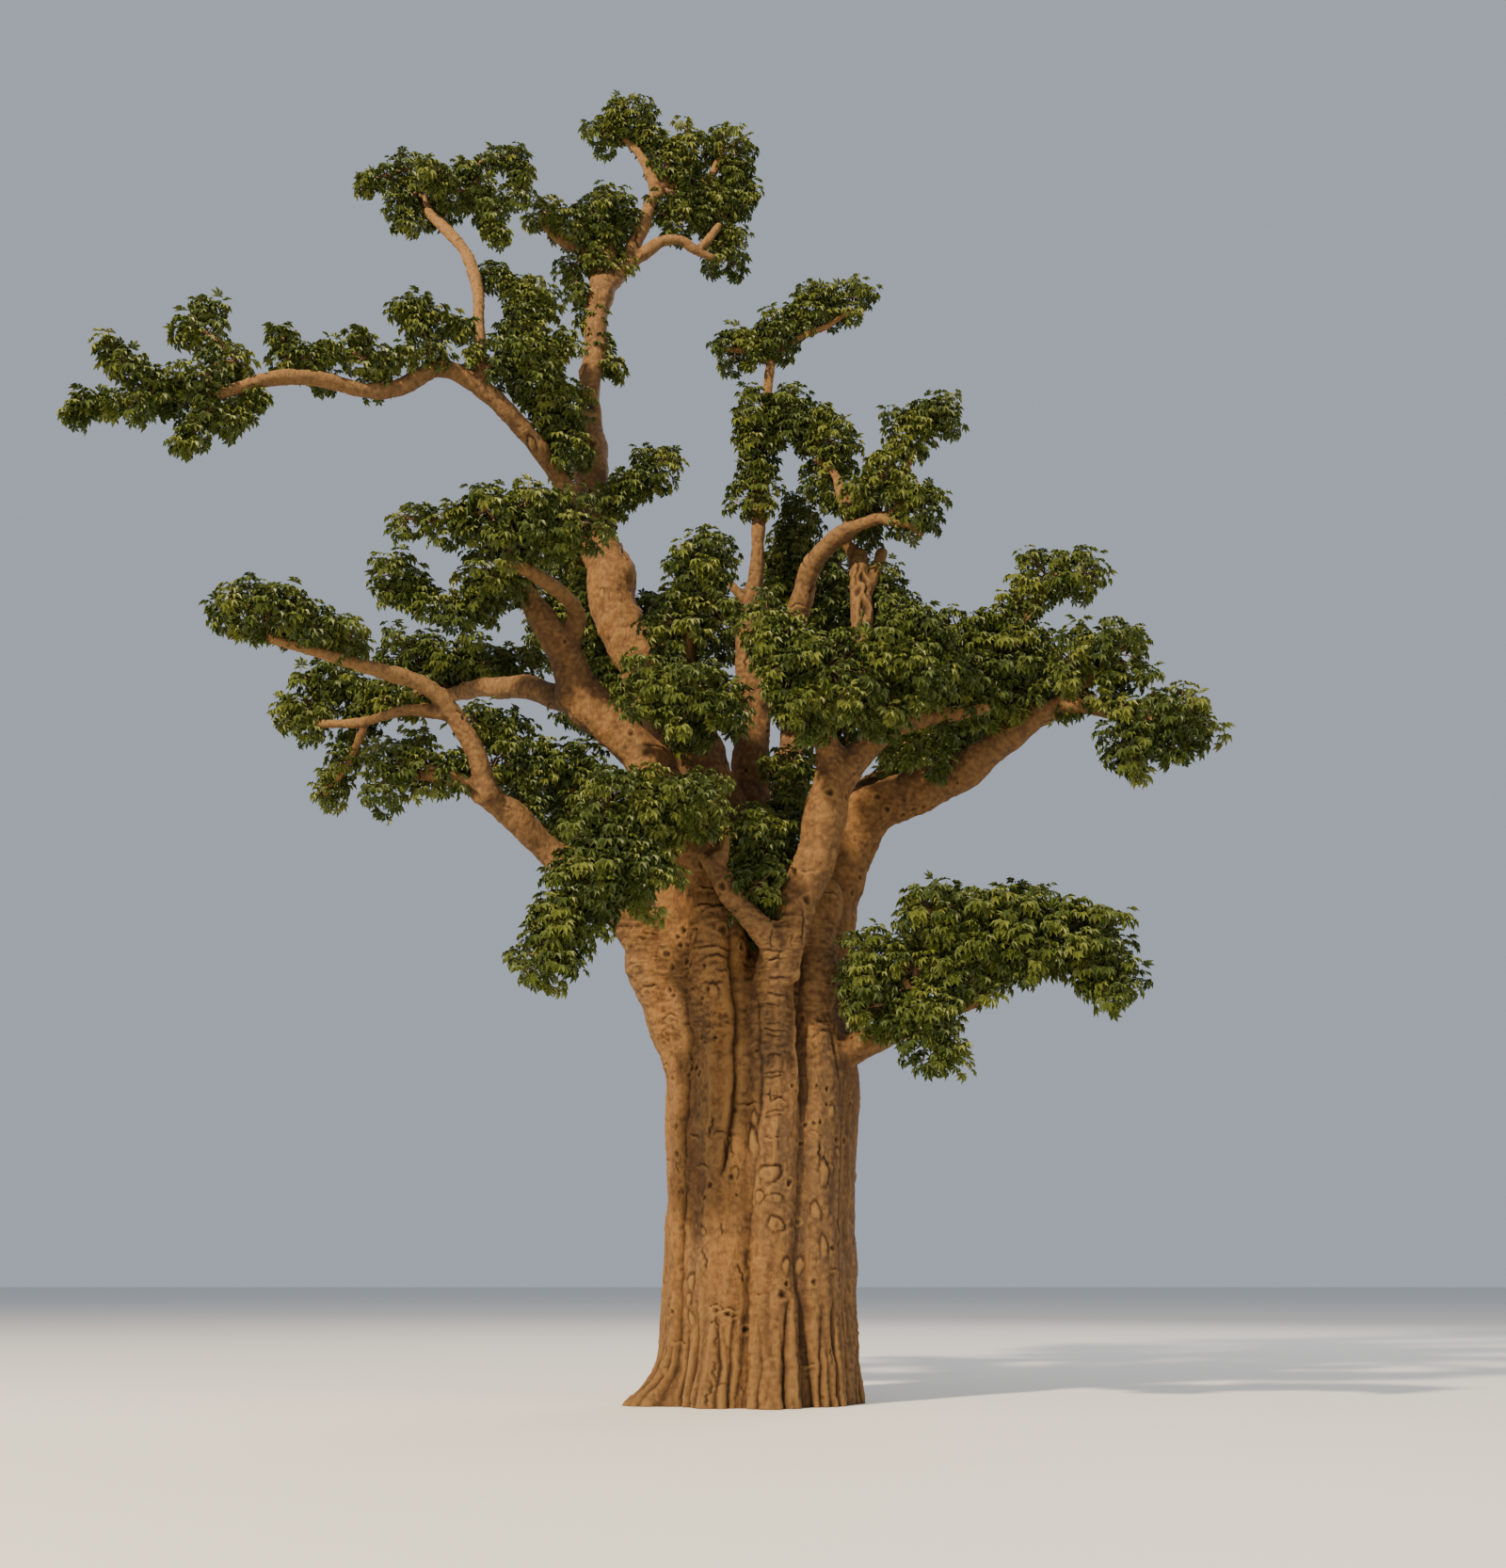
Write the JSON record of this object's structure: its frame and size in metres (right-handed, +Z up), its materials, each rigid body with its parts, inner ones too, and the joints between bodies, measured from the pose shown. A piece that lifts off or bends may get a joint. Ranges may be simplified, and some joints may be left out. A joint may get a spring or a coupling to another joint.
{
  "type": "baobab tree",
  "caption": "Tall baobab tree with a stout trunk of fused columns, crooked tapering boughs and dense masses of foliage along them, cut flat at ground level.",
  "frame": {"origin": "in the flat cut under the trunk, at ground level", "axes": "+Z up the tree, -Y towards the front view, +X to the right in that view"},
  "size_m": [15.9534, 9.7388, 21.8611],
  "materials": {
    "bark": "matte",
    "foliage": "satin"
  },
  "bodies": {
    "root": {"trunk": "bark", "bough_left_low": "bark", "bough_left_low_rise": "bark", "bough_left_mid": "bark", "bough_left_mid_arm": "bark", "bough_left_mid_stub": "bark", "bough_left_mid_rise": "bark", "bough_tall": "bark", "bough_high_left": "bark", "bough_high_rise": "bark", "bough_top_right": "bark", "bough_centre": "bark", "bough_centre_arch": "bark", "bough_right_front": "bark", "bough_right_front_arm": "bark", "bough_right_twist": "bark", "bough_right_main": "bark", "bough_right_low": "bark", "bough_front_fork": "bark", "bough_back_left": "bark", "bough_back_mid": "bark", "bough_back_right": "bark", "bough_back_low_left": "bark", "bough_back_low_right": "bark", "foliage_far_left_tip": "foliage", "foliage_far_left_run": "foliage", "foliage_high_left": "foliage", "foliage_high_rise": "foliage", "foliage_top_left": "foliage", "foliage_top_mid": "foliage", "foliage_top_right": "foliage", "foliage_left_shelf": "foliage", "foliage_shelf_tuft": "foliage", "foliage_left_inner": "foliage", "foliage_left_fan": "foliage", "foliage_left_tip": "foliage", "foliage_left_drop": "foliage", "foliage_left_low_tip": "foliage", "foliage_left_low": "foliage", "foliage_front_left": "foliage", "foliage_centre_front": "foliage", "foliage_centre_rise": "foliage", "foliage_centre_top": "foliage", "foliage_centre_tip": "foliage", "foliage_arch_tip": "foliage", "foliage_front_mid": "foliage", "foliage_front_right": "foliage", "foliage_crotch": "foliage", "foliage_right_crown": "foliage", "foliage_right_outer": "foliage", "foliage_right_reach": "foliage", "foliage_right_low_inner": "foliage", "foliage_right_low": "foliage", "foliage_back_left": "foliage", "foliage_back_left_inner": "foliage", "foliage_back_mid": "foliage", "foliage_back_mid_inner": "foliage", "foliage_back_right": "foliage", "foliage_back_low_left": "foliage", "foliage_back_low_right": "foliage"}
  },
  "joints": []
}
